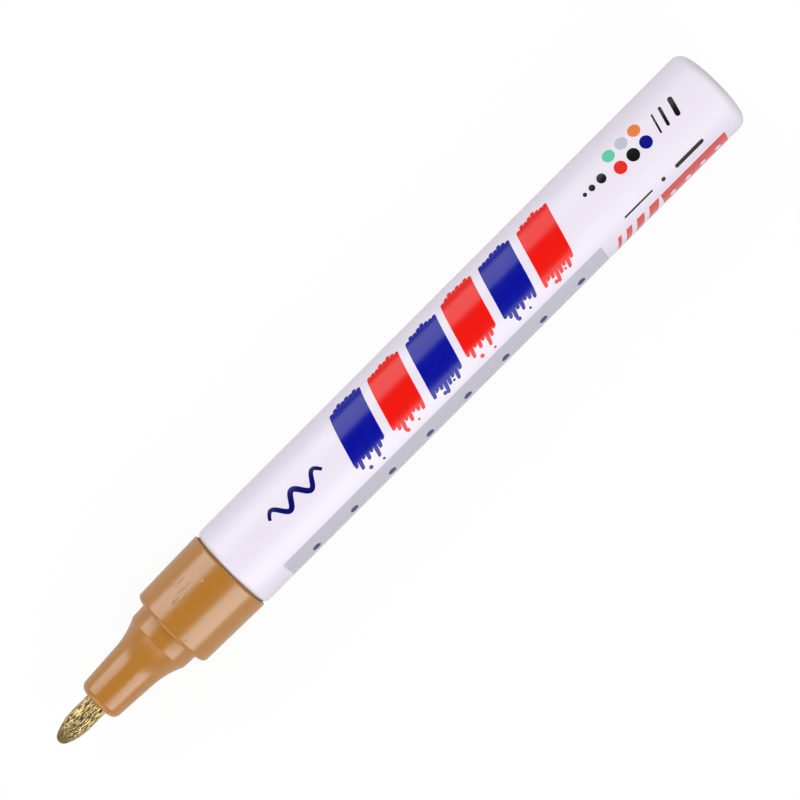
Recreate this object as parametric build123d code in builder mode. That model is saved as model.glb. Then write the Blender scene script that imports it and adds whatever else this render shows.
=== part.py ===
from build123d import *
import os
from math import acos, atan2, cos, degrees, pi, radians, sin, sqrt, tan

# An uncapped paint marker with a spring valve. It lies along X, nib towards -X, tail towards +X.
# Z = 0 is the surface that it lies on, and the origin is below the middle of its length.
# All lengths are millimetres and all angles are degrees.

# Barrel: a drawn aluminium can, closed at the tail, with its mouth rolled inwards
barrel_diameter = 14.0
barrel_length = 98.2
barrel_wall = 0.45
barrel_base = 0.9
tail_inner_corner = 1.1
mouth_inner_roll = 0.4

# Nose piece: one moulding with the nib's cone, a short neck, the collar and a spigot in the barrel
nose_land = 0.43
nose_rounding = 1.15
cone_length = 12.42
cone_straight_length = 7.4
cone_draft = 3.4
neck_length = 2.58
neck_step = 1.44
neck_draft = 2.5
neck_wall = 2.0
collar_length = 12.05
collar_inset = 0.02
collar_draft = 1.24
collar_front_rounding = 0.65
collar_rear_rounding = 0.25
spigot_length = 9.0
spigot_wall = 1.45
spigot_chamfer = 0.4
chamber_lead = 1.8
pocket_setback = 5.0
flute_count = 4
flute_width = 0.8
flute_depth = 0.45
guide_lip = 1.2

# Washer between the collar and the barrel's mouth
washer_thickness = 0.2
washer_width = 0.35

# Nib: a fibre rod with a bullet point at both ends, so that it can be turned round
nib_diameter = 3.7
nib_reach = 7.87
nib_point_length = 4.45
nib_tip_rounding = 1.05
nib_to_seat_gap = 1.87

# Valve: a seat ring, a plunger that the nib pushes, a spring and the cage that holds them
seat_thickness = 3.0
seat_cone_depth = 1.0
seat_flow_gap = 0.35
plunger_rod_diameter = 2.8
plunger_dish_depth = 0.5
plunger_dish_ease = 0.22
plunger_head_rim = 1.0
plunger_travel = 2.0
cage_wall = 0.8
cage_flange_width = 1.0
cage_flange_thickness = 0.8
cage_tail_length = 7.0
cage_end_wall = 1.0
cage_window_width = 3.0
cage_window_margin = 0.8
stop_boss_length = 8.0
spring_wire = 0.5
spring_turns = 9
spring_seat_margin = 0.5
spring_rod_gap = 0.5

# Mixing ball, loose in the barrel
ball_diameter = 6.0
ball_rest_gap = 18.0

# Clearances, and how far a cut runs past what it cuts
press_clearance = 0.03
slide_clearance = 0.05
contact_gap = 0.03
seat_gap = 0.07
overrun = 1.0

# Places along the axis, measured from the nib's tip at rest
nose_front = nib_reach
cone_end = nose_front + cone_straight_length
neck_front = nose_front + cone_length
guide_end = neck_front - chamber_lead
collar_front = neck_front + neck_length
collar_rear = collar_front + collar_length
pocket_floor = collar_front + pocket_setback
mouth = collar_rear + washer_thickness
spigot_end = mouth + spigot_length
tail = mouth + barrel_length
seat_rear = pocket_floor + seat_thickness
cage_end = spigot_end + cage_tail_length + cage_end_wall
cage_floor = cage_end - cage_end_wall
boss_front = cage_floor - stop_boss_length

# Radii of the barrel and of what fits in its mouth
barrel_radius = barrel_diameter / 2
barrel_bore = barrel_radius - barrel_wall
tail_corner = tail_inner_corner + barrel_wall
mouth_roll = mouth_inner_roll + barrel_wall
mouth_radius = barrel_radius - mouth_roll
roll_centre = (mouth + mouth_roll, mouth_radius)
groove_radius = mouth_radius - slide_clearance
spigot_radius = barrel_bore - slide_clearance
pocket_radius = spigot_radius - spigot_wall
washer_bore = groove_radius + press_clearance

# Radii of the nose piece
nib_radius = nib_diameter / 2
guide_radius = nib_radius + slide_clearance
nose_centre = (nose_front + nose_rounding, guide_radius + nose_land)
cone_start = nose_centre[0] - nose_rounding * sin(radians(cone_draft))
cone_start_radius = nose_centre[1] + nose_rounding * cos(radians(cone_draft))
cone_end_radius = cone_start_radius + tan(radians(cone_draft)) * (cone_end - cone_start)


def collar_radius(station):
    """Radius of the drafted collar at a place along the axis."""
    return barrel_radius - collar_inset - tan(radians(collar_draft)) * (collar_rear - station)


def collar_corner(station, rounding):
    """Centre of a rounding that runs into the drafted collar at a place along the axis."""
    draft = radians(collar_draft)
    return (station, collar_radius(station - rounding * sin(draft)) - rounding * cos(draft))


collar_front_centre = collar_corner(collar_front + collar_front_rounding, collar_front_rounding)
collar_rear_centre = collar_corner(collar_rear - collar_rear_rounding, collar_rear_rounding)
neck_rear_radius = collar_radius(collar_front) - neck_step
neck_front_radius = neck_rear_radius - tan(radians(neck_draft)) * neck_length
chamber_radius = neck_front_radius - neck_wall

# Sizes of the nib and the valve
nib_length = pocket_floor - nib_to_seat_gap
nib_shoulder = nib_point_length - nib_tip_rounding
nib_side_arc = (nib_shoulder**2 + nib_radius**2 - nib_tip_rounding**2) / (nib_radius - nib_tip_rounding) / 2
nib_meeting_angle = 180 - degrees(atan2(nib_side_arc - nib_radius, nib_shoulder))
rod_radius = plunger_rod_diameter / 2
seat_hole = rod_radius + seat_flow_gap
cage_radius = pocket_radius - press_clearance
cage_bore = cage_radius - cage_wall
coil_radius = rod_radius + spring_rod_gap + spring_wire / 2
head_radius = coil_radius + spring_wire / 2 + spring_seat_margin
dish_floor = nib_length + contact_gap
dish_radius = nib_tip_rounding + plunger_dish_ease
dish_angle = degrees(acos(1 - plunger_dish_depth / dish_radius))
dish_mouth = sqrt(dish_radius**2 - (dish_radius - plunger_dish_depth) ** 2)
rod_front = dish_floor - plunger_dish_depth
head_front = seat_rear - seat_cone_depth + seat_gap - seat_flow_gap
head_shoulder = head_front + head_radius - rod_radius
head_rear = head_shoulder + plunger_head_rim
rod_end = boss_front - plunger_travel - contact_gap

# Every turned piece is a half section, revolved about the marker's axis
tip_x = -tail / 2
half_section = Plane(origin=(tip_x, 0, barrel_radius), x_dir=(1, 0, 0), z_dir=(0, -1, 0))
marker_axis = Axis((tip_x, 0, barrel_radius), (1, 0, 0))


def across(station):
    """Plane square to the marker's axis, facing the tail."""
    return Plane(origin=(tip_x + station, 0, barrel_radius), x_dir=(0, 1, 0), z_dir=(1, 0, 0))


# Barrel
with BuildPart() as barrel:
    with BuildSketch(half_section):
        with BuildLine():
            CenterArc(roll_centre, mouth_roll, 90, 90)
            Line((roll_centre[0], barrel_radius), (tail - tail_corner, barrel_radius))
            CenterArc((tail - tail_corner, barrel_radius - tail_corner), tail_corner, 0, 90)
            inner_corner = (tail - barrel_base - tail_inner_corner, barrel_bore - tail_inner_corner)
            Polyline(
                (tail, barrel_radius - tail_corner),
                (tail, 0),
                (tail - barrel_base, 0),
                (tail - barrel_base, inner_corner[1]),
            )
            CenterArc(inner_corner, tail_inner_corner, 0, 90)
            Line((inner_corner[0], barrel_bore), (roll_centre[0], barrel_bore))
            CenterArc(roll_centre, mouth_inner_roll, 90, 90)
            Line((mouth + barrel_wall, mouth_radius), (mouth, mouth_radius))
        make_face()
    revolve(axis=marker_axis)

# Nose piece, with flutes along the nib's guide for the paint
with BuildPart() as nose_piece:
    with BuildSketch(half_section):
        with BuildLine():
            CenterArc(nose_centre, nose_rounding, 90 + cone_draft, 90 - cone_draft)
            cone = Line((cone_start, cone_start_radius), (cone_end, cone_end_radius))
            TangentArc(cone @ 1, (neck_front, neck_front_radius), tangent=cone % 1)
            Polyline(
                (neck_front, neck_front_radius),
                (collar_front, neck_rear_radius),
                (collar_front, collar_front_centre[1]),
            )
            front_corner = CenterArc(
                collar_front_centre, collar_front_rounding, 180, collar_draft - 90
            )
            rear_corner = CenterArc(collar_rear_centre, collar_rear_rounding, 0, 90 + collar_draft)
            Line(front_corner @ 1, rear_corner @ 1)
            Polyline(
                rear_corner @ 0,
                (collar_rear, groove_radius),
                (mouth + barrel_wall + slide_clearance, groove_radius),
                (mouth + barrel_wall + slide_clearance, mouth_radius),
            )
            CenterArc(roll_centre, mouth_inner_roll - slide_clearance, 90, 90)
            Polyline(
                (roll_centre[0], spigot_radius),
                (spigot_end - spigot_chamfer, spigot_radius),
                (spigot_end, spigot_radius - spigot_chamfer),
                (spigot_end, pocket_radius),
                (pocket_floor, pocket_radius),
                (pocket_floor, chamber_radius),
                (guide_end, chamber_radius),
                (guide_end, guide_radius),
                (nose_front, guide_radius),
                (nose_front, nose_centre[1]),
            )
        make_face()
    revolve(axis=marker_axis)
    with BuildSketch(across(nose_front + guide_lip)):
        with PolarLocations(guide_radius, flute_count):
            Rectangle(2 * flute_depth, flute_width)
    extrude(amount=guide_end - nose_front - guide_lip + overrun, mode=Mode.SUBTRACT)

# Washer that the barrel's mouth presses on
with BuildPart() as joint_washer:
    with BuildSketch(across(collar_rear)):
        Circle(washer_bore + washer_width)
        Circle(washer_bore, mode=Mode.SUBTRACT)
    extrude(amount=washer_thickness)

# Nib
with BuildPart() as nib:
    with BuildSketch(half_section):
        with BuildLine():
            CenterArc((nib_tip_rounding, 0), nib_tip_rounding, nib_meeting_angle, 180 - nib_meeting_angle)
            CenterArc((nib_point_length, nib_radius - nib_side_arc), nib_side_arc, 90, nib_meeting_angle - 90)
            Line((nib_point_length, nib_radius), (nib_length / 2, nib_radius))
            Line((0, 0), (nib_length / 2, 0))
            mirror(about=Plane.YZ.offset(nib_length / 2))
        make_face()
    revolve(axis=marker_axis)

# Valve seat, a ring with a conical face towards the plunger's head
with BuildPart() as valve_seat:
    with BuildSketch(half_section):
        with BuildLine():
            Polyline(
                (pocket_floor, seat_hole),
                (pocket_floor, cage_radius),
                (seat_rear, cage_radius),
                (seat_rear, seat_hole + seat_cone_depth),
                (seat_rear - seat_cone_depth, seat_hole),
                close=True,
            )
        make_face()
    revolve(axis=marker_axis)

# Valve plunger: a rod dished for the nib, with a conical head and a tail inside the spring
with BuildPart() as valve_plunger:
    with BuildSketch(half_section):
        with BuildLine():
            CenterArc((dish_floor - dish_radius, 0), dish_radius, 0, dish_angle)
            Polyline(
                (rod_front, dish_mouth),
                (rod_front, rod_radius),
                (head_front, rod_radius),
                (head_shoulder, head_radius),
                (head_rear, head_radius),
                (head_rear, rod_radius),
                (rod_end, rod_radius),
                (rod_end, 0),
                (dish_floor, 0),
            )
        make_face()
    revolve(axis=marker_axis)

# Valve cage: a flanged cup with paint windows and the boss that stops the plunger
with BuildPart() as valve_cage:
    with BuildSketch(half_section):
        with BuildLine():
            Polyline(
                (seat_rear, cage_bore),
                (seat_rear, cage_radius),
                (spigot_end, cage_radius),
                (spigot_end, cage_radius + cage_flange_width),
                (spigot_end + cage_flange_thickness, cage_radius + cage_flange_width),
                (spigot_end + cage_flange_thickness, cage_radius),
                (cage_end, cage_radius),
                (cage_end, 0),
                (cage_floor, 0),
                (cage_floor, cage_bore),
                close=True,
            )
        make_face()
    revolve(axis=marker_axis)
    window_front = spigot_end + cage_flange_thickness + cage_window_margin
    window_length = cage_floor - cage_window_margin - window_front
    with BuildSketch(across(window_front)):
        Rectangle(2 * (cage_radius + overrun), cage_window_width)
        Rectangle(cage_window_width, 2 * (cage_radius + overrun))
    extrude(amount=window_length, mode=Mode.SUBTRACT)
    with BuildSketch(across(cage_floor)):
        Circle(rod_radius)
    extrude(amount=-stop_boss_length)

# Valve spring, a helix of arcs between the plunger's head and the cage's floor
coil_front = head_rear + contact_gap + spring_wire / 2
coil_pitch = (cage_floor - contact_gap - spring_wire / 2 - coil_front) / spring_turns
arcs_per_turn = 4


def coil_point(turn):
    """Point on the spring's centre line, a number of turns from its front end."""
    angle = 2 * pi * turn
    across_axis = (coil_radius * cos(angle), barrel_radius + coil_radius * sin(angle))
    return Vector(tip_x + coil_front + coil_pitch * turn, *across_axis)


def coil_tangent(turn):
    """Direction of the spring's centre line at the same point."""
    angle = 2 * pi * turn
    around = 2 * pi * coil_radius
    return Vector(coil_pitch, -around * sin(angle), around * cos(angle)).normalized()


def add_biarc(start, start_way, end, end_way):
    """Two arcs that meet smoothly, from one point and direction to another."""
    span = end - start
    ways = start_way + end_way
    bend = 2 * (1 - start_way.dot(end_way))
    reach = (sqrt(span.dot(ways) ** 2 + bend * span.dot(span)) - span.dot(ways)) / bend
    first_corner = start + start_way * reach
    second_corner = end - end_way * reach
    middle = (first_corner + second_corner) / 2
    TangentArc(start, middle, tangent=start_way)
    TangentArc(middle, end, tangent=second_corner - first_corner)


with BuildPart() as valve_spring:
    with BuildLine():
        for arc in range(spring_turns * arcs_per_turn):
            first = arc / arcs_per_turn
            last = (arc + 1) / arcs_per_turn
            add_biarc(coil_point(first), coil_tangent(first), coil_point(last), coil_tangent(last))
    with BuildSketch(Plane(origin=coil_point(0), z_dir=coil_tangent(0))):
        Circle(spring_wire / 2)
    sweep()

samples_per_turn = 24
coil_samples = [coil_point(i / samples_per_turn) for i in range(spring_turns * samples_per_turn + 1)]
coil_gap = min(
    (coil_samples[i] - coil_samples[j]).length - spring_wire
    for i in range(len(coil_samples))
    for j in range(i + samples_per_turn // 2, len(coil_samples))
)
print(f"least gap between the spring's turns: {coil_gap:.2f} mm")

# Mixing ball, on the lowest line of the barrel's wall
ball_radius = ball_diameter / 2
ball_drop = barrel_bore - ball_radius - slide_clearance
ball_x = tip_x + tail - barrel_base - ball_rest_gap - ball_radius
with BuildPart() as mixing_ball:
    with Locations((ball_x, 0, barrel_radius - ball_drop)):
        Sphere(ball_radius)

pieces = {
    "barrel": barrel,
    "nose_piece": nose_piece,
    "joint_washer": joint_washer,
    "nib": nib,
    "valve_seat": valve_seat,
    "valve_plunger": valve_plunger,
    "valve_cage": valve_cage,
    "valve_spring": valve_spring,
    "mixing_ball": mixing_ball,
}
os.makedirs("parts", exist_ok=True)
for name, piece in pieces.items():
    piece.part.label = name
    export_step(piece.part, f"parts/{name}.step")
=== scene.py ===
# %% [markdown]
# # Dressing a paint marker
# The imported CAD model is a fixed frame. It gives every size and every place, in metres, and the pieces made
# here take the place of the CAD solids that the eye sees. The marker lies along X with its nib towards -X.

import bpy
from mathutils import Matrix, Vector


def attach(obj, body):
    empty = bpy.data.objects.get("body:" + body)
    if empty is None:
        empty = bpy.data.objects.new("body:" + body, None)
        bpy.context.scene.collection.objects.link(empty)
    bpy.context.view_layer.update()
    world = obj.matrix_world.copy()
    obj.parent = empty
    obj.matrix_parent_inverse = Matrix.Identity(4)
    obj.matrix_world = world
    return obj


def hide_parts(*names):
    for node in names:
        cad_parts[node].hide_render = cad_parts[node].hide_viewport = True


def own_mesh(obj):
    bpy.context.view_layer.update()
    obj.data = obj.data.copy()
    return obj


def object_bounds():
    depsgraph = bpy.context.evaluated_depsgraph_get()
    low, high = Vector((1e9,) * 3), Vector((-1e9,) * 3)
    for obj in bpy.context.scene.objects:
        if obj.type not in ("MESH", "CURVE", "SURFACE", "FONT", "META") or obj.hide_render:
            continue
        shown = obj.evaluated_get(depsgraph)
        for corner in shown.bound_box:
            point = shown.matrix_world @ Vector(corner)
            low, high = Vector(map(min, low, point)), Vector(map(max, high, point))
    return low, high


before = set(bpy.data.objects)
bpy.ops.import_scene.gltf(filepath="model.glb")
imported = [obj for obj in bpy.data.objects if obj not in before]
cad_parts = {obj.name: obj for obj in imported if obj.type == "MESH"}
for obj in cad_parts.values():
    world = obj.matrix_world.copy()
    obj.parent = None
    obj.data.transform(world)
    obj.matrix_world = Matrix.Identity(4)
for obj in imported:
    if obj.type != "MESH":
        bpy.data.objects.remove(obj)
cad_box = [list(corner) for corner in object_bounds()]
print("CAD box in metres:", cad_box)

# %% Modules and units
from math import asin, atan2, ceil, cos, degrees, floor, pi, radians, sin, sqrt, tau

import bmesh
import bpy
from mathutils import Matrix, Vector, noise

MM = 0.001
NIB_TIP_X = cad_box[0][0]
AXIS_HEIGHT = 7 * MM
print("axis", AXIS_HEIGHT / MM, "mm above the floor, nib tip at", NIB_TIP_X / MM, "mm")

# %% [markdown]
# ## A half section for every turned piece
# The can, the moulded nose, the nib and the plunger are all turned shapes. Stacking primitives would leave
# seams, so each one is drawn as a half section above the axis, a line or an arc at a time, and then spun once
# around. A corner can be marked soft, and a vertex bevel rounds it before the spin.

# %% Places along the marker
def place(station, radius):
    """A point above the axis: millimetres along from the nib's tip, and millimetres out from the axis."""
    return Vector((NIB_TIP_X + station * MM, 0, AXIS_HEIGHT + radius * MM))


print("the nib's tip is at", tuple(place(0, 0)))

# %% The half section
TURN_STEPS = 192
SOFT_STEPS = 4
MERGE_DISTANCE = 0.0005 * MM


def round_corners(mesh, corners, offset, segments):
    """Round the corners of a line or of a flat shape."""
    return bmesh.ops.bevel(
        mesh, geom=corners, offset=offset, affect="VERTICES", segments=segments, profile=0.5, material=-1
    )


class HalfSection:
    """A chain of edges above the axis, drawn from its first point and turned into a surface."""

    def __init__(self, station, radius):
        self.mesh = bmesh.new()
        self.end = self.mesh.verts.new(place(station, radius))
        self.corners = []

    def line(self, station, radius, steps=1):
        stride = (place(station, radius) - self.end.co) / steps
        for _ in range(steps):
            self.end = bmesh.ops.extrude_vert_indiv(self.mesh, verts=[self.end])["verts"][0]
            bmesh.ops.translate(self.mesh, vec=stride, verts=[self.end])
        return self

    def arc(self, station, radius, sweep, steps):
        centre = place(station, radius)
        drawn = bmesh.ops.spin(
            self.mesh, geom=[self.end], cent=centre, axis=(0, -1, 0), angle=radians(sweep), steps=steps
        )
        self.end = drawn["geom_last"][0]
        return self

    def soft(self, offset):
        self.corners.append((self.end, offset * MM))
        return self

    def turned(self, steps=TURN_STEPS):
        for corner, offset in self.corners:
            round_corners(self.mesh, [corner], offset, SOFT_STEPS)
        drawn = self.mesh.verts[:] + self.mesh.edges[:]
        bmesh.ops.spin(
            self.mesh, geom=drawn, cent=place(0, 0), axis=(1, 0, 0), angle=tau, steps=steps, use_merge=True
        )
        bmesh.ops.remove_doubles(self.mesh, verts=self.mesh.verts[:], dist=MERGE_DISTANCE)
        bmesh.ops.recalc_face_normals(self.mesh, faces=self.mesh.faces[:])
        return self.mesh


print("a half section is turned in", TURN_STEPS, "steps, and a soft corner has", SOFT_STEPS)


# %% From a bmesh to a piece that rides
def put_in_scene(name, data):
    """A new object at the origin that shows a mesh, a lamp or a camera."""
    thing = bpy.data.objects.new(name, data)
    bpy.context.scene.collection.objects.link(thing)
    return thing


def make_piece(name, mesh, body, crease=35):
    """A smooth-shaded object, sharp only at edges steeper than the crease, that rides on a CAD body."""
    for face in mesh.faces:
        face.smooth = True
    for edge in mesh.edges:
        edge.smooth = edge.calc_face_angle(0) < radians(crease)
    open_edges = sum(len(edge.link_faces) != 2 for edge in mesh.edges)
    data = bpy.data.meshes.new(name)
    mesh.to_mesh(data)
    mesh.free()
    piece = put_in_scene(name, data)
    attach(piece, body)
    print(name, len(data.polygons), "faces,", open_edges, "open edges")
    return piece


print("CAD nodes to dress:", sorted(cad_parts))

# %% [markdown]
# ## The can
# The barrel is a drawn aluminium can: one rounded closed end, a straight wall, and a mouth rolled inwards over
# the nose. A cylinder with bevels would do for the outside, but the half section also gives the wall its
# thickness. Its radius is a hair under the CAD's, which leaves room for the film of ink inside the same size.

# %% Turn the can
CAN_RADIUS = 6.985
CAN_WALL = 0.45
MOUTH = 35.12
MOUTH_ROLL = 0.85
TAIL = 133.32
TAIL_CORNER = 1.55
TAIL_BASE = 0.9
tail_flat = CAN_RADIUS - TAIL_CORNER
bore_corner = TAIL_CORNER - CAN_WALL
bore_end = TAIL - TAIL_BASE - bore_corner
lip = CAN_RADIUS - MOUTH_ROLL

can_section = HalfSection(TAIL, 0)
can_section.line(TAIL, tail_flat).arc(TAIL - TAIL_CORNER, tail_flat, 90, steps=20)
can_section.line(MOUTH + MOUTH_ROLL, CAN_RADIUS).arc(MOUTH + MOUTH_ROLL, lip, 90, steps=14)
can_section.line(MOUTH + CAN_WALL, lip).arc(MOUTH + MOUTH_ROLL, lip, -90, steps=8)
can_section.line(bore_end, CAN_RADIUS - CAN_WALL)
can_section.arc(bore_end, CAN_RADIUS - CAN_WALL - bore_corner, -90, steps=8)
can_section.line(TAIL - TAIL_BASE, 0)
can = make_piece("can", can_section.turned(), "marker_body")
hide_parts("barrel")

# %% [markdown]
# ## The moulded nose
# One injection moulding holds the nib: a drafted cone that sweeps out in a cove, a short neck, and the collar
# that the cap grips. Mouldings have no knife edges. The front and the collar end in arcs, and both ends of the
# neck are softened by a tenth of a millimetre or less, which is what catches the thin lights there.

# %% Sizes of the nose
NOSE_FRONT = 7.87
NIB_BORE = 1.9
FRONT_FACE = 2.33
FRONT_ROUND = 1.15
FRONT_SWEEP = 86.6
CONE_REAR = (15.27, 3.8533)
COVE_CENTRE = (14.482, 17.118)
COVE_SWEEP = 22.52
NECK_REAR = 5.2792
NECK_FRONT_SOFT = 0.1
NECK_REAR_SOFT = 0.09
COLLAR_FRONT = 22.87
COLLAR_FACE = 6.0831
COLLAR_ROUND = 0.65
COLLAR_SWEEP = 88.76
COLLAR_EDGE = (34.6754, 6.97447)
COLLAR_EDGE_CENTRE = (34.67, 6.72453)
COLLAR_EDGE_SWEEP = 91.24
COLLAR_REAR = 34.92
GROOVE = 6.1
SPIGOT = 6.5
SPIGOT_FRONT = 35.62
SPIGOT_ROUND = 0.35
SPIGOT_END = 44.12
SPIGOT_BEVEL = 0.4
POCKET = 5.05
POCKET_FLOOR = 27.87
CHAMBER = 3.1665
CHAMBER_FLOOR = 18.49
print("the collar is", round(COLLAR_REAR - COLLAR_FRONT, 2), "mm long")
print("the spigot is", round(SPIGOT_END - SPIGOT_FRONT, 2), "mm long")

# %% Turn the nose
nose_section = HalfSection(NOSE_FRONT, NIB_BORE)
nose_section.line(NOSE_FRONT, FRONT_FACE)
nose_section.arc(NOSE_FRONT + FRONT_ROUND, FRONT_FACE, -FRONT_SWEEP, steps=16)
nose_section.line(*CONE_REAR).arc(*COVE_CENTRE, COVE_SWEEP, steps=24).soft(NECK_FRONT_SOFT)
nose_section.line(COLLAR_FRONT, NECK_REAR).soft(NECK_REAR_SOFT)
nose_section.line(COLLAR_FRONT, COLLAR_FACE)
nose_section.arc(COLLAR_FRONT + COLLAR_ROUND, COLLAR_FACE, -COLLAR_SWEEP, steps=16)
nose_section.line(*COLLAR_EDGE).arc(*COLLAR_EDGE_CENTRE, -COLLAR_EDGE_SWEEP, steps=10)
nose_section.line(COLLAR_REAR, GROOVE).line(SPIGOT_FRONT, GROOVE)
nose_section.line(SPIGOT_FRONT, SPIGOT - SPIGOT_ROUND)
nose_section.arc(SPIGOT_FRONT + SPIGOT_ROUND, SPIGOT - SPIGOT_ROUND, -90, steps=6)
nose_section.line(SPIGOT_END - SPIGOT_BEVEL, SPIGOT).line(SPIGOT_END, SPIGOT - SPIGOT_BEVEL)
nose_section.line(SPIGOT_END, POCKET).line(POCKET_FLOOR, POCKET)
nose_section.line(POCKET_FLOOR, CHAMBER).line(CHAMBER_FLOOR, CHAMBER)
nose_section.line(CHAMBER_FLOOR, NIB_BORE).line(NOSE_FRONT, NIB_BORE)
nose = make_piece("nose", nose_section.turned(), "marker_body")
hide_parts("nose_piece")

# %% [markdown]
# ## The fibre nib
# The nib is a bundle of fibres bonded into a rod and ground to a bullet at both ends. Gaps run along it between
# the fibres, and at a ground point the same fibres are cut across, so the gaps break up into pits. A noise that
# is stretched along X gives both at once when it is read at the surface's own points. The gaps only ever go
# inwards, and their depth is kept as an attribute that the nib's finish will read.

# %% Turn the nib
NIB_LENGTH = 26.0
NIB_RADIUS = 1.85
NIB_POINT = 4.45
NIB_ROUND = 1.05
ROUND_STEPS = 26
BOW_STEPS = 56
SHAFT_STEPS = 160
NIB_TURN_STEPS = 184
run = NIB_POINT - NIB_ROUND
bow = (run**2 + NIB_RADIUS**2 - NIB_ROUND**2) / (2 * (NIB_RADIUS - NIB_ROUND))
taper = degrees(atan2(run, bow - NIB_RADIUS))

nib_section = HalfSection(0, 0)
nib_section.arc(NIB_ROUND, 0, taper - 90, ROUND_STEPS)
nib_section.arc(NIB_POINT, NIB_RADIUS - bow, -taper, BOW_STEPS)
nib_section.line(NIB_LENGTH - NIB_POINT, NIB_RADIUS, SHAFT_STEPS)
nib_section.arc(NIB_LENGTH - NIB_POINT, NIB_RADIUS - bow, -taper, BOW_STEPS)
nib_section.arc(NIB_LENGTH - NIB_ROUND, 0, taper - 90, ROUND_STEPS)
nib_mesh = nib_section.turned(steps=NIB_TURN_STEPS)
print("nib turned with", len(nib_mesh.verts), "vertices")

# %% Press the gaps between its fibres
FIBRE_LENGTH, FIBRE_WIDTH = 0.9, 0.17
BREAK_LENGTH, BREAK_WIDTH, BREAK_SHIFT = 0.4, 0.1, 7.3
BREAK_SHARE = 0.5
SWAY_LENGTH, SWAY_WIDTH = 1.4, 0.06
GAP_BIAS, GAP_SPAN = 0.08, 0.5
GAP_DEPTH = 0.1
POINT_SHARE = 0.45
POINT_FADE = 5
SWAY_SEED = 5
noise.seed_set(SWAY_SEED)  # without a seed, noise_vector takes its offsets from the clock


def fibre_gap(point):
    """How deep the gap between the fibres is at a point, from 0 on a fibre to 1 in a gap."""
    x, y, z = point
    sway = noise.noise_vector(point / SWAY_LENGTH) * SWAY_WIDTH
    long = noise.noise(Vector((x / FIBRE_LENGTH, (y + sway.y) / FIBRE_WIDTH, (z + sway.z) / FIBRE_WIDTH)))
    short = noise.noise(Vector((x / BREAK_LENGTH + BREAK_SHIFT, y / BREAK_WIDTH, z / BREAK_WIDTH)))
    return min(1.0, max(0.0, (long + BREAK_SHARE * short + GAP_BIAS) / GAP_SPAN))


gap_layer = nib_mesh.verts.layers.float.new("gap")
nib_mesh.normal_update()
inward = {}
for vert in nib_mesh.verts:
    point = (vert.co - place(0, 0)) / MM
    from_end = min(point.x, NIB_LENGTH - point.x)
    vert[gap_layer] = min(1.0, POINT_SHARE + from_end / POINT_FADE) * fibre_gap(point)
    inward[vert] = vert.normal * (GAP_DEPTH * vert[gap_layer] * MM)
for vert, depth in inward.items():
    vert.co -= depth
print("deepest gap", round(max(depth.length for depth in inward.values()) / MM, 3), "mm")
nib = make_piece("nib_fibre", nib_mesh, "nib_body", crease=80)
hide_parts("nib")

# %% [markdown]
# ## The plunger and the mixing ball
# The nib's rear point sits in the dished end of a plunger, whose conical head closes the valve, and a loose
# steel ball stirs the paint. The CAD gives both as loose triangles. The plunger is one more half section, and
# an icosphere has no poles, so both come out here as closed, even meshes of the same size.

# %% Turn the plunger
DISH_FLOOR = 26.03
DISH_RADIUS = 1.27
DISH_SWEEP = 52.6776
ROD_FRONT = 25.53
ROD_RADIUS = 1.4
ROD_END = 41.09
HEAD_FRONT = 29.59
HEAD_RIM = 31.09
HEAD_REAR = 32.09
HEAD_RADIUS = 2.9

plunger_section = HalfSection(DISH_FLOOR, 0)
plunger_section.arc(DISH_FLOOR - DISH_RADIUS, 0, DISH_SWEEP, steps=16)
plunger_section.line(ROD_FRONT, ROD_RADIUS).line(HEAD_FRONT, ROD_RADIUS).line(HEAD_RIM, HEAD_RADIUS)
plunger_section.line(HEAD_REAR, HEAD_RADIUS).line(HEAD_REAR, ROD_RADIUS)
plunger_section.line(ROD_END, ROD_RADIUS).line(ROD_END, 0)
plunger = make_piece("plunger", plunger_section.turned(steps=96), "valve_body")
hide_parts("valve_plunger")

# %% Round the ball
BALL_RADIUS = 3.0
BALL_STATION = 111.42
BALL_DROP = 3.5

ball_mesh = bmesh.new()
bmesh.ops.create_icosphere(ball_mesh, subdivisions=5, radius=BALL_RADIUS * MM)
bmesh.ops.translate(ball_mesh, vec=place(BALL_STATION, -BALL_DROP), verts=ball_mesh.verts[:])
ball = make_piece("ball", ball_mesh, "ball_body")
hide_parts("mixing_ball")

# %% [markdown]
# ## The valve spring
# Behind the nib a steel spring closes the valve. A spin that also steps along its axis is a screw, so a small
# disc of wire becomes the whole coil in one operation. The real spring shortens towards the floor of the
# valve's cage when the nib is pressed, but this coil is wound at one length only.

# %% Wind the spring
COIL_FRONT = 32.37
COIL_RADIUS = 2.15
COIL_TURNS = 9
COIL_PITCH = 2.05222
WIRE_RADIUS = 0.25
WIRE_SIDES = 14
CAGE_FLOOR = 51.12
STEPS_PER_TURN = 36

coil = bmesh.new()
bmesh.ops.create_circle(coil, cap_ends=True, radius=WIRE_RADIUS * MM, segments=WIRE_SIDES)
turn_length = sqrt(COIL_PITCH**2 + (tau * COIL_RADIUS) ** 2)
lead = Matrix.Rotation(asin(COIL_PITCH / turn_length), 3, "Y")
bmesh.ops.rotate(coil, cent=(0, 0, 0), matrix=lead, verts=coil.verts[:])
coil_start = place(COIL_FRONT, 0) + Vector((0, COIL_RADIUS * MM, 0))
bmesh.ops.translate(coil, vec=coil_start, verts=coil.verts[:])
bmesh.ops.spin(
    coil,
    geom=coil.verts[:] + coil.edges[:] + coil.faces[:],
    cent=place(COIL_FRONT, 0),
    axis=(1, 0, 0),
    dvec=(COIL_PITCH / STEPS_PER_TURN * MM, 0, 0),
    angle=tau * COIL_TURNS,
    steps=COIL_TURNS * STEPS_PER_TURN,
)
bmesh.ops.recalc_face_normals(coil, faces=coil.faces[:])
spring = make_piece("spring", coil, "marker_body")
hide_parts("valve_spring")
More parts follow.
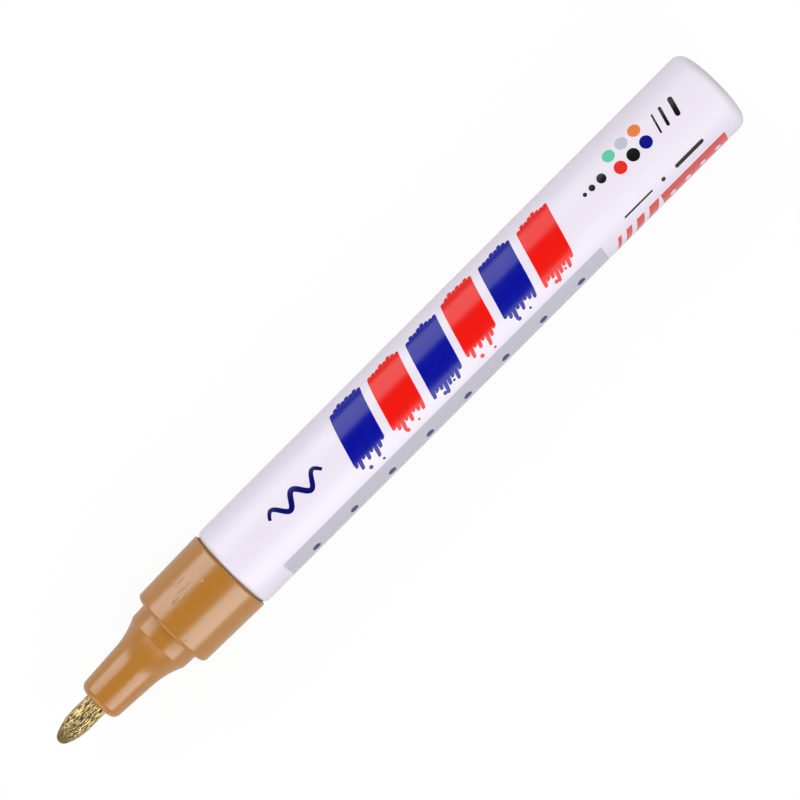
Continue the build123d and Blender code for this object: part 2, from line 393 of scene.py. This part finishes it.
place(CAGE_FLOOR, 0)
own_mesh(spring)

# %% [markdown]
# ## Ink on the can
# The can is screen printed, and each colour is a film of ink about a hundredth of a millimetre thick. A mask in
# the can's material would blur when it is baked, so each colour is a piece of its own. It is drawn flat, in
# millimetres along the marker and around it, cut into narrow strips, rolled onto the can and given a thickness.

# %% Roll a flat drawing onto the can
INK_TOP = 6.991
INK_FILM = 0.012
STRIP = 0.157


def roll_onto_can(flat, top=INK_TOP):
    """Cut a flat drawing into strips, bend it round the can and thicken it inwards."""
    flat.normal_update()
    bmesh.ops.reverse_faces(flat, faces=[face for face in flat.faces if face.normal.z < 0])
    around = [vert.co.y for vert in flat.verts]
    for strip in range(floor(min(around) / STRIP) + 1, ceil(max(around) / STRIP)):
        everything = flat.verts[:] + flat.edges[:] + flat.faces[:]
        bmesh.ops.bisect_plane(flat, geom=everything, plane_co=(0, strip * STRIP, 0), plane_no=(0, 1, 0))
    bmesh.ops.dissolve_degenerate(flat, dist=STRIP / 100, edges=flat.edges[:])
    for vert in flat.verts:
        turn = vert.co.y / CAN_RADIUS
        vert.co = place(vert.co.x, top * cos(turn)) + Vector((0, top * sin(turn) * MM, 0))
    flat.normal_update()
    bmesh.ops.solidify(flat, geom=flat.faces[:], thickness=INK_FILM * MM)
    return flat


print("a drawing all round the can would be cut into", round(tau * CAN_RADIUS / STRIP), "strips")

# %% Plain shapes for the print
DOT_SIDES = 48
END_STEPS = 8
END_ROUNDING = 0.495  # just under half, so that two rounded corners never meet


def rectangle(flat, along, around, width, height):
    """A plain bar, given by its middle and its size."""
    made = bmesh.ops.create_grid(flat, x_segments=1, y_segments=1, size=0.5)
    bmesh.ops.scale(flat, vec=(width, height, 1), verts=made["verts"])
    bmesh.ops.translate(flat, vec=(along, around, 0), verts=made["verts"])
    return made["verts"]


def lean_over(flat, verts, along, around, lean):
    """Shear a shape around its middle by a lean in degrees, and move the middle to its place."""
    shear = Matrix(((1, sin(radians(lean)), 0), (0, 1, 0), (0, 0, 1))).to_4x4()
    bmesh.ops.transform(flat, matrix=Matrix.Translation((along, around, 0)) @ shear, verts=verts)


def leaning_bar(flat, along, around, width, height, lean):
    """A bar with level ends that leans over."""
    lean_over(flat, rectangle(flat, 0, 0, width, height), along, around, lean)


def rounded_bar(flat, along, around, width, height, lean=0):
    """A bar with round ends, turned by a lean in degrees."""
    corners = rectangle(flat, 0, 0, width, height)
    made = round_corners(flat, corners, END_ROUNDING * min(width, height), END_STEPS)
    verts = list({vert for face in made["faces"] for vert in face.verts} | set(made["verts"]))
    bmesh.ops.rotate(flat, cent=(0, 0, 0), matrix=Matrix.Rotation(radians(-lean), 3, "Z"), verts=verts)
    bmesh.ops.translate(flat, vec=(along, around, 0), verts=verts)


def dot(flat, along, around, radius):
    """A round dot."""
    made = bmesh.ops.create_circle(flat, cap_ends=True, radius=radius, segments=DOT_SIDES)
    bmesh.ops.translate(flat, vec=(along, around, 0), verts=made["verts"])


print("a dot has", DOT_SIDES, "sides, and each corner of a rounded bar", END_STEPS, "steps")

# %% [markdown]
# The large motif is a row of leaning paint dabs in blue and red. Real brush marks start blunt and run out in
# streaks, so each dab is a small grid whose end edges are drawn out by different lengths.

# %% A dab of paint
TIP_ROUNDING = 0.42
TIP_STEPS = 4
FOOT_NARROW = 0.7
HEAD_NARROW = 0.95
HEAD_REACH, HEAD_RAGGED, HEAD_CROWN = 0.5, 0.3, 1.5


def tongue(flat, edge, reach, narrow):
    """Draw one bristle's trail out of an edge, narrower at its rounded end."""
    grown = bmesh.ops.extrude_edge_only(flat, edges=[edge])
    tip = [item for item in grown["geom"] if isinstance(item, bmesh.types.BMVert)]
    middle = (tip[0].co + tip[1].co) / 2
    bmesh.ops.scale(flat, vec=(narrow, 1, 1), verts=tip, space=Matrix.Translation(-middle))
    bmesh.ops.translate(flat, vec=(0, reach, 0), verts=tip)
    round_corners(flat, tip, TIP_ROUNDING * (tip[0].co - tip[1].co).length, TIP_STEPS)


def brush_dab(along, around, width, height, lean, tails):
    """A broad dab of paint: a blunt head, and a foot that runs out in one trail for each bristle."""
    flat = bmesh.new()
    bmesh.ops.create_grid(flat, x_segments=len(tails), y_segments=1, size=0.5)
    bmesh.ops.scale(flat, vec=(width, height, 1), verts=flat.verts[:])
    ends = [edge for edge in flat.edges if abs(edge.verts[0].co.y - edge.verts[1].co.y) < 0.01]
    ends.sort(key=lambda edge: edge.verts[0].co.x + edge.verts[1].co.x)
    foot = [edge for edge in ends if edge.verts[0].co.y < 0]
    head = [edge for edge in ends if edge.verts[0].co.y > 0]
    for i, edge in enumerate(foot):
        tongue(flat, edge, -tails[i], FOOT_NARROW)
    for i, edge in enumerate(head):
        crown = HEAD_CROWN * (i / (len(head) - 1) - 0.5) ** 2
        tongue(flat, edge, HEAD_REACH + HEAD_RAGGED * tails[-1 - i] - crown, HEAD_NARROW)
    lean_over(flat, flat.verts[:], along, around, lean)
    return flat


def join_flat(drawings):
    """Gather several flat drawings into one."""
    whole = bmesh.new()
    for drawing in drawings:
        sheet = bpy.data.meshes.new("sheet")
        drawing.to_mesh(sheet)
        drawing.free()
        whole.from_mesh(sheet)
        bpy.data.meshes.remove(sheet)
    return whole


print("a dab's head is", HEAD_NARROW, "and its foot", FOOT_NARROW, "as wide at each bristle's end")

# %% Dabs of blue and red
DAB_COUNT = 6
DAB_START, DAB_PITCH = 62.5, 7.45
DAB_AROUND, DAB_STAGGER = 2.0, 0.3
DAB_WIDTH, DAB_HEIGHT = 6.1, 8.0
LEAN = 17
DROP_STAGGER = 0.5
TRAILS = (
    (0.7, 1.5, 0.4, 1.1, 0.5, 1.9, 1.0, 0.3),
    (0.3, 0.9, 1.7, 0.6, 1.3, 0.4, 0.8, 1.2),
    (1.1, 0.5, 0.8, 2.0, 1.2, 0.6, 1.5, 0.5),
)

dabs = {"blue": [], "red": []}
for i in range(DAB_COUNT):
    colour = ("blue", "red")[i % 2]
    start = DAB_START + DAB_PITCH * i
    height = DAB_AROUND - DAB_STAGGER * (i % 3)
    dabs[colour].append(brush_dab(start, height, DAB_WIDTH, DAB_HEIGHT, LEAN, TRAILS[i % 3]))
    drops = bmesh.new()
    for along, around, radius in (
        (-2.6, -6.1, 0.34), (-0.4, -6.6 + DROP_STAGGER * (i % 3), 0.22), (-3.4, -5.0, 0.18)
    ):
        dot(drops, start + along, DAB_AROUND + around, radius)
    dabs[colour].append(drops)
ink = {colour: join_flat(drawn) for colour, drawn in dabs.items()}
print("dabs and their drops:", {colour: len(drawn) for colour, drawn in dabs.items()})

# %% [markdown]
# Near the nose a wavy test stroke shows what the marker draws. It is pulled out of one short edge, a step at a
# time, and swells in the middle as a stroke does under pressure.

# %% The wavy stroke
def wavy_stroke(flat, along, around, length, waves, height, width, steps=90):
    """A stroke that swings from side to side, thicker in its middle."""
    start = [flat.verts.new((0, 0, 0)) for _ in range(2)]
    edge = flat.edges.new(start)
    for step in range(steps + 1):
        share = step / steps
        if step:
            grown = bmesh.ops.extrude_edge_only(flat, edges=[edge])
            edge = next(item for item in grown["geom"] if isinstance(item, bmesh.types.BMEdge))
        swing = tau * waves * share
        centre = Vector((along + length * share, around + height * sin(swing), 0))
        slope = Vector((length, height * tau * waves * cos(swing), 0)).normalized()
        pressure = sin(pi * (0.06 + 0.88 * share)) ** 0.6  # never quite zero at the ends
        half = width / 2 * (0.35 + 0.65 * pressure)
        edge.verts[0].co = centre + Vector((-slope.y, slope.x, 0)) * half
        edge.verts[1].co = centre - Vector((-slope.y, slope.x, 0)) * half


ink["navy"] = bmesh.new()
wavy_stroke(ink["navy"], along=44.4, around=0.9, length=10.4, waves=2.5, height=1.0, width=0.84)
print("wavy stroke with", len(ink["navy"].faces), "faces")

# %% [markdown]
# Along one side runs a grey band with navy dots, and by the tail a red panel that breaks up into leaning bars.
# Each bar is a rectangle under a shear, so its ends stay level with the panel's edges.

# %% The band and the panel
def angle_round(turn):
    """Millimetres around the can for a turn in degrees from the top, negative towards the band's side."""
    return -CAN_RADIUS * radians(turn)


BAND_MIDDLE, BAND_LENGTH = 73.1, 64.0
BAND_TURN, BAND_ARC = 70, 52
BAND_DOTS, BAND_DOT_START, BAND_DOT_PITCH = 8, 46.3, 7.65
BAND_DOT_TURN, BAND_DOT_RADIUS = 67, 0.72
PANEL_MIDDLE, PANEL_LENGTH = 122.85, 12.9
PANEL_TURN, PANEL_ARC = 76, 42
PANEL_DOTS, PANEL_DOT_START, PANEL_DOT_PITCH = 4, 118.3, 3.0
PANEL_DOT_TURN, PANEL_DOT_RADIUS = 73, 0.55

ink["grey"] = bmesh.new()
rectangle(ink["grey"], BAND_MIDDLE, angle_round(BAND_TURN), BAND_LENGTH, CAN_RADIUS * radians(BAND_ARC))
ink["band_dots"] = bmesh.new()
for i in range(BAND_DOTS):
    along = BAND_DOT_START + BAND_DOT_PITCH * i
    dot(ink["band_dots"], along, angle_round(BAND_DOT_TURN), BAND_DOT_RADIUS)

ink["panel"] = bmesh.new()
panel_height = CAN_RADIUS * radians(PANEL_ARC)
rectangle(ink["panel"], PANEL_MIDDLE, angle_round(PANEL_TURN), PANEL_LENGTH, panel_height)
for along, width in ((114.3, 1.9), (111.6, 1.5), (109.3, 1.1), (107.4, 0.7)):
    leaning_bar(ink["panel"], along, angle_round(PANEL_TURN), width, panel_height, LEAN)
ink["panel_dots"] = bmesh.new()
for i in range(PANEL_DOTS):
    along = PANEL_DOT_START + PANEL_DOT_PITCH * i
    dot(ink["panel_dots"], along, angle_round(PANEL_DOT_TURN), PANEL_DOT_RADIUS)
print("band", BAND_LENGTH, "mm and panel", PANEL_LENGTH, "mm long")

# %% [markdown]
# Beside the panel, six dots show a range of paint colours, and small black dots and bars run along with them.
# A curve or a text object could give such marks, but circles and rounded rectangles keep the mesh light.

# %% The colour dots and the small black marks
COLOUR_DOT_START, COLOUR_DOT_AROUND = 114.9, 1.15
COLOUR_DOT_PITCH, COLOUR_DOT_RADIUS = 2.55, 0.98
UPPER_LINE, LOWER_LINE = 2.0, -4.7

for name, column, row in (
    ("mint", 0, 1), ("silver", 1, 1), ("orange", 2, 1), ("tomato", 0, 0), ("black", 1, 0), ("marine", 2, 0)
):
    ink[name] = bmesh.new()
    along = COLOUR_DOT_START + COLOUR_DOT_PITCH * column
    dot(ink[name], along, COLOUR_DOT_AROUND + COLOUR_DOT_PITCH * row, COLOUR_DOT_RADIUS)

for along, radius in ((108.6, 0.32), (110.0, 0.5), (111.9, 0.74)):
    dot(ink["black"], along, UPPER_LINE, radius)
for along, width in ((122.9, 0.3), (124.4, 0.5), (126.4, 0.8)):
    rounded_bar(ink["black"], along, UPPER_LINE, width, 3.2, LEAN)
rounded_bar(ink["black"], 113.2, LOWER_LINE, 5.6, 0.34)
dot(ink["black"], 118.2, LOWER_LINE, 0.36)
rounded_bar(ink["black"], 123.4, LOWER_LINE, 5.6, 0.7)
print("inks drawn:", sorted(ink))

# %% [markdown]
# Dots that lie on another ink would share its surface and flicker, so they sit a few thousandths of a
# millimetre higher, still inside the CAD's radius.

# %% Roll every colour on
DOT_LIFT = 0.005

printed = {}
for colour, flat in ink.items():
    top = INK_TOP + DOT_LIFT if colour.endswith("dots") else INK_TOP
    printed[colour] = make_piece(f"ink_{colour}", roll_onto_can(flat, top), "marker_body")

# %% [markdown]
# ## Finishes as expressions
# Every finish below is a Principled shader with a few procedural patterns. Wiring nodes by hand hides the
# arithmetic, so a small class stands for a socket: sums and products of wires add Math nodes, and one method
# adds any other node.

# %% A wire between nodes
class Wire:
    """An output socket in a material's node tree."""

    def __init__(self, tree, socket=None):
        self.tree = tree
        self.socket = socket

    def node(self, kind, settings=None, inputs=None, output=0):
        made = self.tree.nodes.new(kind)
        for key, value in (settings or {}).items():
            setattr(made, key, value)
        for key, value in (inputs or {}).items():
            live = [socket for socket in made.inputs if socket.enabled]
            socket = live[key] if isinstance(key, int) else next(s for s in live if s.name == key)
            if isinstance(value, Wire):
                self.tree.links.new(value.socket, socket)
            else:
                socket.default_value = value
        live = [socket for socket in made.outputs if socket.enabled]
        if not live:
            return None
        found = live[output] if isinstance(output, int) else next(s for s in live if s.name == output)
        return Wire(self.tree, found)

    def maths(self, operation, first, second):
        return self.node("ShaderNodeMath", {"operation": operation}, {0: first, 1: second})

    def __add__(self, other):
        return self.maths("ADD", self, other)

    def __radd__(self, other):
        return self.maths("ADD", other, self)

    def __sub__(self, other):
        return self.maths("SUBTRACT", self, other)

    def __rsub__(self, other):
        return self.maths("SUBTRACT", other, self)

    def __mul__(self, other):
        return self.maths("MULTIPLY", self, other)

    def __rmul__(self, other):
        return self.maths("MULTIPLY", other, self)


print("a wire can be added, subtracted and multiplied, from either side")


# %% Starting a finish and putting it on
def start_finish(name, fixed):
    """A new Principled material with its even values set, and a wire to grow its patterns from."""
    material = bpy.data.materials.new(name)
    material.use_nodes = True
    shader = material.node_tree.nodes["Principled BSDF"]
    for socket, value in fixed.items():
        shader.inputs[socket].default_value = value
    return material, Wire(material.node_tree)


def feed(material, **wires):
    """Link wires to the Principled shader's sockets, whose names are written with underscores here."""
    shader = material.node_tree.nodes["Principled BSDF"]
    for socket, wire in wires.items():
        material.node_tree.links.new(wire.socket, shader.inputs[socket.replace("_", " ")])


def dress(pieces, material):
    """Give pieces or CAD nodes one material."""
    for piece in pieces:
        piece.data.materials.clear()
        piece.data.materials.append(material)
    print(material.name, "with", len(material.node_tree.nodes), "nodes on", len(pieces), "of the pieces")


print("materials that came with the CAD:", len(bpy.data.materials))


# %% Patterns that most finishes share
def grain(wire, size, stretch=(1, 1, 1), detail=2.0, shift=0.0):
    """Noise from 0 to 1 whose grains are about a size in millimetres, longer where the stretch is larger."""
    where = wire.node("ShaderNodeTexCoord", output="Object")
    scale = tuple(1 / (size * MM * part) for part in stretch)
    mapping = {"Vector": where, "Location": (shift,) * 3, "Scale": scale}
    mapped = wire.node("ShaderNodeMapping", inputs=mapping)
    return wire.node("ShaderNodeTexNoise", inputs={"Vector": mapped, "Scale": 1.0, "Detail": detail})


def ramp(wire, value, low, high):
    """Map a wire's stretch from low to high onto 0 to 1, with both ends held."""
    inputs = {"Value": value, "From Min": low, "From Max": high}
    return wire.node("ShaderNodeMapRange", {"interpolation_type": "SMOOTHSTEP"}, inputs)


def tint(wire, share, first, second):
    """A colour between two others."""
    ends = [end if isinstance(end, Wire) else (*end, 1) for end in (first, second)]
    inputs = {"Factor": share, "A": ends[0], "B": ends[1]}
    return wire.node("ShaderNodeMix", {"data_type": "RGBA"}, inputs)


def bump(wire, height, depth, strength):
    """A normal that is raised by a height wire, over a depth in millimetres."""
    inputs = {"Strength": strength, "Distance": depth * MM, "Height": height}
    return wire.node("ShaderNodeBump", inputs=inputs)


print("patterns:", [pattern.__name__ for pattern in (grain, ramp, tint, bump)])

# %% [markdown]
# ## Lacquer and ink
# The can wears a satin white lacquer with a cool lilac cast. Sprayed lacquer is never quite even: its tone
# drifts over a centimetre or two and its skin has a faint orange peel. The inks show that peel too, but they
# are glossier, so their lights are tighter and their colours stay deep between them.

# %% White lacquer
PEEL_SIZE, PEEL_DEPTH, PEEL_STRENGTH = 0.55, 0.004, 0.5

lacquer, wire = start_finish("white_lacquer", {"Specular IOR Level": 0.85, "IOR": 1.5})
drift = grain(wire, 22, detail=1.0)
peel = grain(wire, PEEL_SIZE)
feed(
    lacquer,
    Base_Color=tint(wire, drift, (0.815, 0.73, 0.845), (0.845, 0.76, 0.875)),
    Roughness=0.42 + 0.1 * grain(wire, 3.0),
    Normal=bump(wire, peel, PEEL_DEPTH, PEEL_STRENGTH),
)
dress([can], lacquer)


# %% Screen inks
def screen_ink(name, colour):
    """An ink film: its own colour, a little thinner in places, with the lacquer's peel showing through."""
    material, wire = start_finish(name, {"Specular IOR Level": 0.25, "IOR": 1.5})
    thin = tuple(0.96 * part + 0.003 for part in colour)
    worn_thin = ramp(wire, grain(wire, 1.4, detail=4.0), 0.35, 0.75)
    feed(
        material,
        Base_Color=tint(wire, worn_thin, colour, thin),
        Roughness=0.2 + 0.06 * grain(wire, 2.0),
        Normal=bump(wire, grain(wire, PEEL_SIZE), PEEL_DEPTH, PEEL_STRENGTH),
    )
    return material


INK_COLOURS = {
    "blue": (0.001, 0.004, 0.32),
    "red": (0.87, 0.007, 0.003),
    "navy": (0.002, 0.002, 0.14),
    "grey": (0.58, 0.55, 0.635),
    "band_dots": (0.03, 0.025, 0.16),
    "panel": (0.74, 0.085, 0.085),
    "panel_dots": (0.83, 0.79, 0.86),
    "mint": (0.08, 0.58, 0.36),
    "silver": (0.52, 0.53, 0.62),
    "orange": (0.83, 0.19, 0.012),
    "tomato": (0.82, 0.025, 0.018),
    "black": (0.005, 0.005, 0.005),
    "marine": (0.002, 0.004, 0.22),
}
for colour, piece in printed.items():
    dress([piece], screen_ink(f"{colour}_ink", INK_COLOURS[colour]))

# %% [markdown]
# ## Ochre plastic
# The nose is a glossy ochre plastic. Its gloss swirls a little where the melt flowed, and the collar carries
# fine rub marks along its length from the cap sliding on and off. The marks are the high values of a noise that
# is stretched along X, kept to the patches of a larger noise and to one worn place on the collar.

# %% The nose's finish
def near(wire, station, across, height, far, close, reach=1):
    """1 within a close distance of a point, falling to 0 at a far one, in millimetres, drawn out along X."""
    where = wire.node("ShaderNodeTexCoord", output="Object")
    point = (NIB_TIP_X + station * MM, across * MM, height * MM)
    apart = wire.node("ShaderNodeVectorMath", {"operation": "SUBTRACT"}, {0: where, 1: point})
    drawn_in = wire.node("ShaderNodeVectorMath", {"operation": "MULTIPLY"}, {0: apart, 1: (1 / reach, 1, 1)})
    gone = wire.node("ShaderNodeVectorMath", {"operation": "LENGTH"}, {0: drawn_in}, output="Value")
    return ramp(wire, gone, far * MM, close * MM)


OCHRE = (0.45, 0.18, 0.0235)
RUBBED_OCHRE = (0.22, 0.09, 0.025)
PALE_SPECK = (0.68, 0.42, 0.16)

ochre, wire = start_finish("ochre_plastic", {"Specular IOR Level": 0.7, "IOR": 1.5})
swirl = grain(wire, 5.0, stretch=(3, 1, 1), detail=3.0)
lines = grain(wire, 0.2, stretch=(13, 1, 1), detail=1.0, shift=3.1)
spread = grain(wire, 2.4, stretch=(1.6, 1, 1), shift=1.7)
worn_place = near(wire, station=28.2, across=3.0, height=13.1, far=1.9, close=0.6, reach=2)
patch = ramp(wire, spread + 0.3 * worn_place, 0.58, 0.74)
rub = ramp(wire, lines, 0.58, 0.64) * patch
speck = near(wire, station=31.6, across=1.75, height=13.7, far=0.22, close=0.1)
plastic = tint(wire, rub * 0.7, OCHRE, RUBBED_OCHRE)
feed(
    ochre,
    Base_Color=tint(wire, speck, plastic, PALE_SPECK),
    Roughness=0.24 + 0.06 * swirl + 0.2 * rub,
    Normal=bump(wire, 0.3 * grain(wire, 0.4) - rub, 0.012, 0.5),
)
dress([nose], ochre)

# %% [markdown]
# ## Paint-soaked fibre
# The fibres are coated with gold paint, whose flakes shine like metal. The shade in the gaps between them is
# painted into the colour as dark brown: the gap attribute that was kept on the nib says where they are, and a
# stretched noise adds dull streaks to the same painted shade.
# Towards the writing point the gold has worn off, so the fibres are browner there.

# %% The nib's finish
DULL_GOLD = (0.24, 0.155, 0.05)
BRIGHT_GOLD = (0.8, 0.59, 0.265)
WORN_GOLD = (0.12, 0.072, 0.022)
# The last colour is painted shade, standing in for the shade that falls into the gaps between the fibres.
PAINTED_GAP_SHADE = (0.065, 0.04, 0.015)

gold, wire = start_finish("gold_soaked_fibre", {"Specular IOR Level": 0.5})
gap = wire.node("ShaderNodeAttribute", {"attribute_name": "gap"}, output="Fac")
streak = grain(wire, 0.14, stretch=(5, 1, 1), detail=3.0)
flake = grain(wire, 0.08, detail=1.0)
where = wire.node("ShaderNodeTexCoord", output="Object")
along = wire.node("ShaderNodeSeparateXYZ", inputs={0: where}, output="X")
worn = ramp(wire, along, NIB_TIP_X + 3 * MM, NIB_TIP_X + 0.3 * MM)
# Painted shade: the gaps, and some dull streaks, are darkened in colour, and made less metallic and rougher.
dark = ramp(wire, gap + 0.4 * streak, 0.3, 0.9)
bright = ramp(wire, streak, 0.36, 0.62) * (1 - 0.75 * worn)
fresh_fibre = tint(wire, bright, DULL_GOLD, BRIGHT_GOLD)
fibre = tint(wire, 0.65 * worn, fresh_fibre, WORN_GOLD)
feed(
    gold,
    Base_Color=tint(wire, dark, fibre, PAINTED_GAP_SHADE),
    Metallic=0.75 - 0.5 * dark,
    Roughness=0.24 + 0.25 * flake + 0.25 * dark,
    Normal=bump(wire, flake + streak, 0.05, 0.6),
)
dress([nib], gold)

# %% [markdown]
# ## The pieces inside
# The washer, the valve's seat and its cage keep their CAD shapes, and only their finishes are made here. The
# washer is dull and dark, the mouldings are milky, and the spring and the ball are bright steel with fine
# lines. Both milky mouldings come from one function and both steels from another, so they stay alike.

# %% Milky mouldings, steel and washer
def milky(name, light, dark):
    """A milky plastic moulding with a soft sheen."""
    material, wire = start_finish(name, {"Specular IOR Level": 0.5})
    cloud = grain(wire, 2.5, detail=3.0)
    feed(
        material,
        Base_Color=tint(wire, cloud, dark, light),
        Roughness=0.36 + 0.14 * cloud,
        Normal=bump(wire, grain(wire, 0.3), 0.008, 0.4),
    )
    return material


def bright_steel(name, stretch):
    """Drawn or polished steel with fine lines along its stretch."""
    material, wire = start_finish(name, {"Metallic": 1.0})
    lines = grain(wire, 0.08, stretch=stretch)
    feed(
        material,
        Base_Color=tint(wire, lines, (0.60, 0.60, 0.61), (0.68, 0.68, 0.69)),
        Roughness=0.14 + 0.16 * lines,
        Normal=bump(wire, lines, 0.004, 0.4),
    )
    return material


rubber, wire = start_finish("dark_washer", {"Specular IOR Level": 0.3})
feed(
    rubber,
    Base_Color=tint(wire, grain(wire, 0.7), (0.26, 0.12, 0.04), (0.36, 0.17, 0.06)),
    Roughness=0.6 + 0.2 * grain(wire, 0.3),
    Normal=bump(wire, grain(wire, 0.1), 0.01, 0.5),
)
milky_moulding = milky("milky_moulding", (0.80, 0.79, 0.75), (0.72, 0.71, 0.66))
white_moulding = milky("white_moulding", (0.88, 0.88, 0.86), (0.80, 0.80, 0.78))
print("finishes so far:", len(bpy.data.materials))

# %% Dress the pieces inside
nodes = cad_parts
dress([nodes["joint_washer"]], rubber)
dress([nodes["valve_seat"], nodes["valve_cage"]], milky_moulding)
dress([plunger], white_moulding)
dress([spring], bright_steel("spring_steel", (12, 1, 1)))
dress([ball], bright_steel("ball_steel", (1, 6, 1)))

# %% [markdown]
# ## The studio
# The marker lies on a white sweep: a flat floor that curves up into a low wall, so that every view ends in
# white. One half section spun around Z makes all of it without a seam.

# %% Floor and sweep
FLOOR_REACH = 2.2
SWEEP_RADIUS = 0.8
WALL_TOP = 1.6
SWEEP_MERGE = 0.0001

sweep_mesh = bmesh.new()
rim = sweep_mesh.verts.new((0, 0, 0))
rim = bmesh.ops.extrude_vert_indiv(sweep_mesh, verts=[rim])["verts"][0]
rim.co = (FLOOR_REACH, 0, 0)
curve = bmesh.ops.spin(
    sweep_mesh,
    geom=[rim],
    cent=(FLOOR_REACH, 0, SWEEP_RADIUS),
    axis=(0, -1, 0),
    angle=radians(90),
    steps=16,
)
rim = bmesh.ops.extrude_vert_indiv(sweep_mesh, verts=curve["geom_last"][:1])["verts"][0]
rim.co.z = WALL_TOP
bmesh.ops.spin(
    sweep_mesh,
    geom=sweep_mesh.verts[:] + sweep_mesh.edges[:],
    cent=(0, 0, 0),
    axis=(0, 0, 1),
    angle=tau,
    steps=96,
    use_merge=True,
)
bmesh.ops.remove_doubles(sweep_mesh, verts=sweep_mesh.verts[:], dist=SWEEP_MERGE)
bmesh.ops.recalc_face_normals(sweep_mesh, faces=sweep_mesh.faces[:])
for face in sweep_mesh.faces:
    face.smooth = True
sweep_data = bpy.data.meshes.new("sweep")
sweep_mesh.to_mesh(sweep_data)
sweep_mesh.free()
sweep = put_in_scene("sweep", sweep_data)
print("sweep with", len(sweep_data.polygons), "faces")

# %% [markdown]
# A floor lit until it looks white would burn out the marker. Camera rays see mostly an even white here, with a
# share of the lit surface left in, so that the marker's shadow stays on the floor. Mirror and glass rays see a
# smaller share of that white. All other rays meet a dim floor, which throws little light back at the marker.

# %% The floor's finish
CAMERA_SHARE = 0.93
MIRROR_SHARE = 0.4

paper = bpy.data.materials.new("white_paper")
paper.use_nodes = True
paper.node_tree.nodes.clear()
wire = Wire(paper.node_tree)
camera_ray, mirror_ray, glass_ray = (
    wire.node("ShaderNodeLightPath", output=f"Is {kind} Ray") for kind in ("Camera", "Glossy", "Transmission")
)
plain = wire.node("ShaderNodeBsdfDiffuse", inputs={"Color": (0.95, 0.95, 0.95, 1)})
dim = wire.node("ShaderNodeBsdfDiffuse", inputs={"Color": (0.1, 0.1, 0.1, 1)})
glow = wire.node("ShaderNodeEmission", inputs={"Color": (1, 1, 1, 1), "Strength": 1.0})
share = CAMERA_SHARE * camera_ray + MIRROR_SHARE * (mirror_ray + glass_ray)
shown = wire.node("ShaderNodeMixShader", inputs={0: share, 1: plain, 2: glow})
seen = camera_ray + mirror_ray + glass_ray
mixed = wire.node("ShaderNodeMixShader", inputs={0: seen, 1: dim, 2: shown})
wire.node("ShaderNodeOutputMaterial", inputs={"Surface": mixed})
dress([sweep], paper)

# %% [markdown]
# ## Light and camera
# Two soft boxes, one on each side of the marker, draw the two broad lights along its gloss. A low lamp beyond
# the nib and a higher one beyond the tail light the top without adding a third. The camera hangs straight above
# and is turned by forty-five degrees, so that the marker crosses the picture from corner to corner.

# %% A soft box
LAMP_DISTANCE = 1.0


def soft_box(name, towards, size, power, colour=(1, 1, 1)):
    """A rectangular lamp that looks at the marker from a direction."""
    data = bpy.data.lights.new(name, "AREA")
    data.shape = "RECTANGLE"
    data.size, data.size_y = size
    data.energy = power
    data.color = colour
    lamp = put_in_scene(name, data)
    away = Vector(towards).normalized()
    lamp.location = Vector((0, 0, AXIS_HEIGHT)) + away * LAMP_DISTANCE
    lamp.rotation_euler = away.to_track_quat("Z", "Y").to_euler()


print("lamps stand", LAMP_DISTANCE, "m from the middle of the marker")

# %% Lamps and world
SIDE_LEAN = 57.5
SIDE_SHIFT = -0.11
SIDE_SIZE = (0.62, 0.88)
SIDE_COLOUR = (0.96, 1.0, 0.99)
END_SIZE = (1.2, 0.55)
WORLD_STRENGTH = 0.1

for name, side, power in (("left_box", 1, 7.2), ("right_box", -1, 8.2)):
    lean = radians(SIDE_LEAN)
    soft_box(name, (SIDE_SHIFT, side * sin(lean), cos(lean)), SIDE_SIZE, power, SIDE_COLOUR)
for name, side, lean, power in (("nib_wall", -1, 72, 3.6), ("tail_wall", 1, 40, 3.5)):
    soft_box(name, (side * sin(radians(lean)), 0, cos(radians(lean))), END_SIZE, power)

world = bpy.data.worlds.new("studio")
bpy.context.scene.world = world
world.use_nodes = True
world.node_tree.nodes["Background"].inputs["Color"].default_value = (1, 1, 1, 1)
world.node_tree.nodes["Background"].inputs["Strength"].default_value = WORLD_STRENGTH

# %% Camera
CAMERA_HEIGHT = 420
CAMERA_ALONG, CAMERA_ACROSS = 2.86, -0.015
CAMERA_TURN = -45.06
CAMERA_ANGLE = 15.617

lens = bpy.data.cameras.new("overhead")
lens.angle = radians(CAMERA_ANGLE)
camera = put_in_scene("overhead", lens)
camera.location = (CAMERA_ALONG * MM, CAMERA_ACROSS * MM, AXIS_HEIGHT + CAMERA_HEIGHT * MM)
camera.rotation_euler = (0, 0, radians(CAMERA_TURN))
bpy.context.scene.camera = camera
bpy.context.scene.view_settings.view_transform = "Standard"
print("camera", CAMERA_HEIGHT, "mm above the axis, with an angle of", CAMERA_ANGLE, "degrees")
